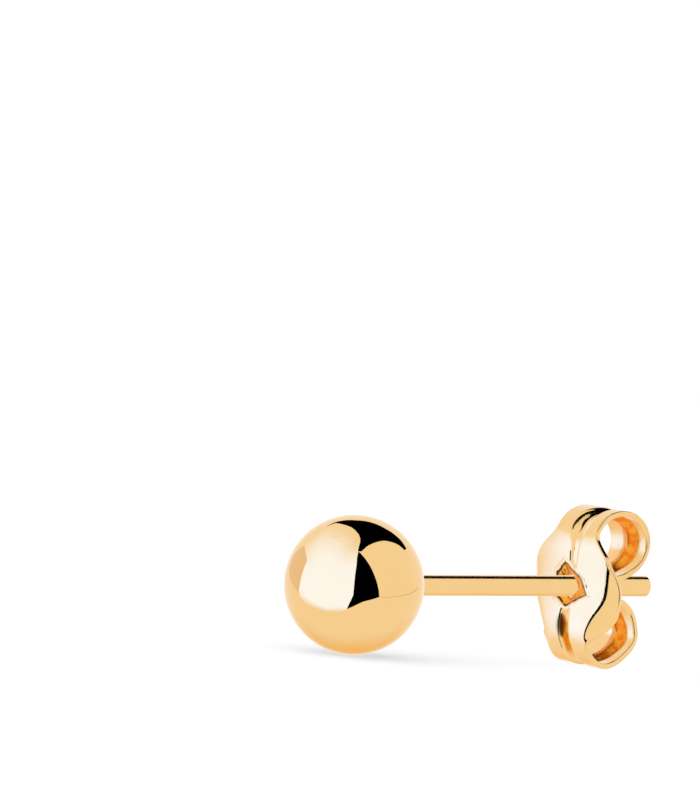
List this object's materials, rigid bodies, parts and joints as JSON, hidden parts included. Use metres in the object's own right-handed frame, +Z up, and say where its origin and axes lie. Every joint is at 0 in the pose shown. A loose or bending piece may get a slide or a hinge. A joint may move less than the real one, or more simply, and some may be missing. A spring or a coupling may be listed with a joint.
{
  "type": "ball stud earring with butterfly clutch",
  "caption": "Polished ball stud earring with a straight post and a curled butterfly clutch that slides on the post.",
  "frame": {"origin": "centre of the footprint's box, on the plane that the ball and the clutch's lower loop rest on", "axes": "+X from the ball along the post, seen from above, +Z up"},
  "size_m": [0.0148, 0.0056, 0.0058],
  "materials": {
    "polished_gold": "mirror-polished yellow gold alloy",
    "stamped_gold": "bright stamped and tumbled yellow gold alloy"
  },
  "bodies": {
    "stud": {"ball_post": "polished_gold"},
    "clutch": {"butterfly_clutch": "stamped_gold"}
  },
  "joints": [
    {"name": "clutch_slide", "type": "slide", "parent": "stud", "child": "clutch", "axis": [0.9993, 0, 0.0381], "range_m": [-0.0062, 0.0045]}
  ]
}
